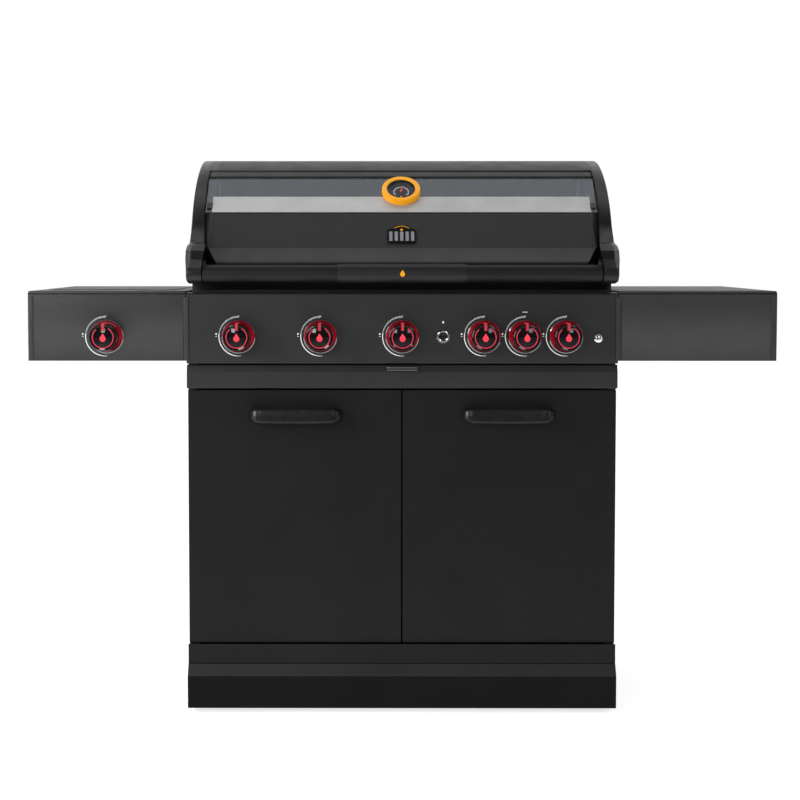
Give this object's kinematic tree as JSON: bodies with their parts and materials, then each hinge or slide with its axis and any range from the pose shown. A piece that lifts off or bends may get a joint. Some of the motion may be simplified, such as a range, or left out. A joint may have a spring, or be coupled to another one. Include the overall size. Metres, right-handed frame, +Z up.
{
  "type": "gas barbecue grill",
  "caption": "Cart-style gas barbecue with a windowed lid, lit knobs, cabinet doors, side shelves with a covered side burner, and casters behind a plinth.",
  "frame": {"origin": "on the ground, under the centre of the bounding box", "axes": "+Z up, -Y is the front with the knobs and doors, +X is to the right of a person facing the front"},
  "size_m": [1.65, 0.606, 1.245],
  "materials": {
    "panel_coat": "semi-matt black powder coat with a fine texture",
    "cast_coat": "satin black painted casting",
    "black_plastic": "matt black moulded plastic",
    "rubber": "matt black tyre",
    "zinc_steel": "zinc-plated steel",
    "stainless": "brushed stainless steel",
    "cast_iron": "seasoned cast iron",
    "chrome": "polished chrome",
    "window_glass": "smoked clear glass",
    "amber_ring": "satin amber",
    "needle_red": "matt red",
    "burner_ceramic": "unglazed perforated ceramic in a steel frame",
    "knob_shell": "gloss black cap over a translucent red skirt, lit from inside"
  },
  "bodies": {
    "cabinet": {"control_panel": "panel_coat", "plinth": "panel_coat", "shelf_left": "panel_coat", "shelf_right": "panel_coat", "cabinet_side_left": "panel_coat", "cabinet_side_right": "panel_coat", "cabinet_floor": "panel_coat", "cabinet_back": "panel_coat", "firebox": "cast_coat", "gas_manifold": "zinc_steel", "burner_1": "stainless", "burner_2": "stainless", "burner_3": "stainless", "burner_4": "stainless", "burner_5": "stainless", "flame_tamer_1": "stainless", "flame_tamer_2": "stainless", "flame_tamer_3": "stainless", "flame_tamer_4": "stainless", "flame_tamer_5": "stainless", "warming_rack": "stainless", "side_burner": "stainless", "cooking_grate_left": "cast_iron", "cooking_grate_middle": "cast_iron", "cooking_grate_right": "cast_iron", "side_trivet": "cast_iron", "button_collar": "chrome", "panel_socket": "chrome", "rear_burner": "burner_ceramic"},
    "lid": {"lid_shell": "panel_coat", "lid_cap_left": "cast_coat", "lid_cap_right": "cast_coat", "lid_glass": "window_glass", "lid_handle_bar": "cast_coat", "lid_grip": "black_plastic", "lid_badge": "black_plastic", "gauge_case": "amber_ring"},
    "gauge_needle": {"gauge_needle": "needle_red"},
    "door_left": {"door_left": "panel_coat", "door_handle_left": "black_plastic"},
    "door_right": {"door_right": "panel_coat", "door_handle_right": "black_plastic"},
    "grease_tray": {"grease_tray": "panel_coat"},
    "side_burner_cover": {"side_burner_cover": "panel_coat"},
    "ignition_button": {"ignition_button": "black_plastic"},
    "knob_main_1": {"knob_main_1": "knob_shell"},
    "knob_main_2": {"knob_main_2": "knob_shell"},
    "knob_main_3": {"knob_main_3": "knob_shell"},
    "knob_main_4": {"knob_main_4": "knob_shell"},
    "knob_main_5": {"knob_main_5": "knob_shell"},
    "knob_rear": {"knob_rear": "knob_shell"},
    "knob_side": {"knob_side": "knob_shell"},
    "caster_fork_front_left": {"caster_fork_front_left": "zinc_steel"},
    "caster_wheel_front_left": {"caster_wheel_front_left": "rubber"},
    "caster_fork_front_right": {"caster_fork_front_right": "zinc_steel"},
    "caster_wheel_front_right": {"caster_wheel_front_right": "rubber"},
    "caster_fork_rear_left": {"caster_fork_rear_left": "zinc_steel"},
    "caster_wheel_rear_left": {"caster_wheel_rear_left": "rubber"},
    "caster_fork_rear_right": {"caster_fork_rear_right": "zinc_steel"},
    "caster_wheel_rear_right": {"caster_wheel_rear_right": "rubber"}
  },
  "joints": [
    {"name": "lid_hinge", "type": "hinge", "parent": "cabinet", "child": "lid", "pos_m": [0, 0.25, 0.975], "axis": [-1, 0, 0], "range_deg": [0, 75]},
    {"name": "gauge_needle_turn", "type": "hinge", "parent": "lid", "child": "gauge_needle", "pos_m": [0, -0.07958, 1.15901], "axis": [0, -0.6668, 0.7452], "range_deg": [-120, 90], "stiffness_Nm_per_rad": 0.002},
    {"name": "door_left_hinge", "type": "hinge", "parent": "cabinet", "child": "door_left", "pos_m": [-0.466, -0.225, 0.435], "axis": [0, 0, -1], "range_deg": [0, 105]},
    {"name": "door_right_hinge", "type": "hinge", "parent": "cabinet", "child": "door_right", "pos_m": [0.466, -0.225, 0.435], "axis": [0, 0, 1], "range_deg": [0, 105]},
    {"name": "grease_tray_slide", "type": "slide", "parent": "cabinet", "child": "grease_tray", "axis": [0, -1, 0], "range_m": [0, 0.3]},
    {"name": "side_cover_hinge", "type": "hinge", "parent": "cabinet", "child": "side_burner_cover", "pos_m": [-0.651, 0.1975, 0.9315], "axis": [-1, 0, 0], "range_deg": [0, 100]},
    {"name": "ignition_press", "type": "slide", "parent": "cabinet", "child": "ignition_button", "axis": [0, 1, 0], "range_m": [0, 0.004], "stiffness_N_per_m": 500},
    {"name": "knob_main_1_turn", "type": "hinge", "parent": "cabinet", "child": "knob_main_1", "pos_m": [-0.3608, -0.245, 0.838], "axis": [0, -1, 0], "range_deg": [0, 180]},
    {"name": "knob_main_2_turn", "type": "hinge", "parent": "cabinet", "child": "knob_main_2", "pos_m": [-0.1804, -0.245, 0.838], "axis": [0, -1, 0], "range_deg": [0, 180]},
    {"name": "knob_main_3_turn", "type": "hinge", "parent": "cabinet", "child": "knob_main_3", "pos_m": [0, -0.245, 0.838], "axis": [0, -1, 0], "range_deg": [0, 180]},
    {"name": "knob_main_4_turn", "type": "hinge", "parent": "cabinet", "child": "knob_main_4", "pos_m": [0.1804, -0.245, 0.838], "axis": [0, -1, 0], "range_deg": [0, 180]},
    {"name": "knob_main_5_turn", "type": "hinge", "parent": "cabinet", "child": "knob_main_5", "pos_m": [0.3608, -0.245, 0.838], "axis": [0, -1, 0], "range_deg": [0, 180]},
    {"name": "knob_rear_turn", "type": "hinge", "parent": "cabinet", "child": "knob_rear", "pos_m": [0.2706, -0.245, 0.838], "axis": [0, -1, 0], "range_deg": [0, 180]},
    {"name": "knob_side_turn", "type": "hinge", "parent": "cabinet", "child": "knob_side", "pos_m": [-0.651, -0.245, 0.838], "axis": [0, -1, 0], "range_deg": [0, 180]},
    {"name": "caster_swivel_front_left", "type": "hinge", "parent": "cabinet", "child": "caster_fork_front_left", "pos_m": [-0.405, -0.188, 0.1], "axis": [0, 0, 1], "continuous": true},
    {"name": "caster_roll_front_left", "type": "hinge", "parent": "caster_fork_front_left", "child": "caster_wheel_front_left", "pos_m": [-0.405, -0.166, 0.0375], "axis": [1, 0, 0], "continuous": true},
    {"name": "caster_swivel_front_right", "type": "hinge", "parent": "cabinet", "child": "caster_fork_front_right", "pos_m": [0.405, -0.188, 0.1], "axis": [0, 0, 1], "continuous": true},
    {"name": "caster_roll_front_right", "type": "hinge", "parent": "caster_fork_front_right", "child": "caster_wheel_front_right", "pos_m": [0.405, -0.166, 0.0375], "axis": [1, 0, 0], "continuous": true},
    {"name": "caster_swivel_rear_left", "type": "hinge", "parent": "cabinet", "child": "caster_fork_rear_left", "pos_m": [-0.405, 0.21, 0.1], "axis": [0, 0, 1], "continuous": true},
    {"name": "caster_roll_rear_left", "type": "hinge", "parent": "caster_fork_rear_left", "child": "caster_wheel_rear_left", "pos_m": [-0.405, 0.232, 0.0375], "axis": [1, 0, 0], "continuous": true},
    {"name": "caster_swivel_rear_right", "type": "hinge", "parent": "cabinet", "child": "caster_fork_rear_right", "pos_m": [0.405, 0.21, 0.1], "axis": [0, 0, 1], "continuous": true},
    {"name": "caster_roll_rear_right", "type": "hinge", "parent": "caster_fork_rear_right", "child": "caster_wheel_rear_right", "pos_m": [0.405, 0.232, 0.0375], "axis": [1, 0, 0], "continuous": true}
  ]
}
